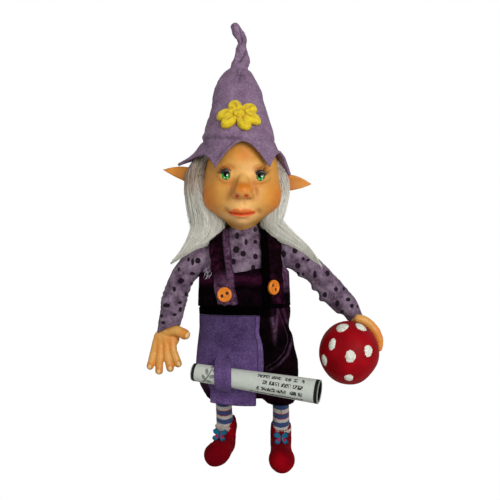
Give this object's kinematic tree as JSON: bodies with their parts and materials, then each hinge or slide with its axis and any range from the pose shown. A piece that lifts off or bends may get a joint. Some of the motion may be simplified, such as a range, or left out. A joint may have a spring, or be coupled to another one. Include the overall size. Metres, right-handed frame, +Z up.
{
  "type": "elf figurine",
  "caption": "Standing elf doll with a pointed lilac felt hat and yellow flower, spotted shirt, dark velvet dungarees, rolled paper, spotted red ball and red shoes.",
  "frame": {"origin": "on the floor, under the middle of the doll's box", "axes": "+Z up towards the tip of the hat, the doll looks along -Y, +X towards its left hand"},
  "size_m": [0.1748, 0.0928, 0.3328],
  "materials": {
    "clay_skin": "satin painted modelling clay",
    "eye_gloss": "wet gloss",
    "lash_hair": "fine dark hair",
    "lilac_felt": "matt felt",
    "yellow_foam": "soft matt foam",
    "mohair": "soft sheen",
    "spotted_jersey": "brushed jersey with dark spots",
    "red_clay": "satin red with raised pale dots",
    "plum_velvet": "crushed velvet",
    "orange_button": "satin",
    "violet_felt": "matt felt",
    "printed_paper": "coated paper",
    "striped_knit": "fluffy striped knit",
    "red_suede": "matt suede",
    "butterfly_paint": "satin blue and magenta"
  },
  "bodies": {
    "root": {"head": "clay_skin", "right_eye": "eye_gloss", "left_eye": "eye_gloss", "right_lash": "lash_hair", "left_lash": "lash_hair", "hat": "lilac_felt", "hat_flower": "yellow_foam", "hair_right": "mohair", "hair_left": "mohair", "shirt_torso": "spotted_jersey", "right_sleeve": "spotted_jersey", "left_sleeve": "spotted_jersey", "right_hand": "clay_skin", "left_hand": "clay_skin", "spotted_ball": "red_clay", "bib_band": "plum_velvet", "trousers": "plum_velvet", "right_strap": "plum_velvet", "left_strap": "plum_velvet", "right_button": "orange_button", "left_button": "orange_button", "apron": "violet_felt", "scroll": "printed_paper", "right_sock": "striped_knit", "left_sock": "striped_knit", "right_shoe": "red_suede", "left_shoe": "red_suede", "right_butterfly": "butterfly_paint", "left_butterfly": "butterfly_paint"}
  },
  "joints": []
}
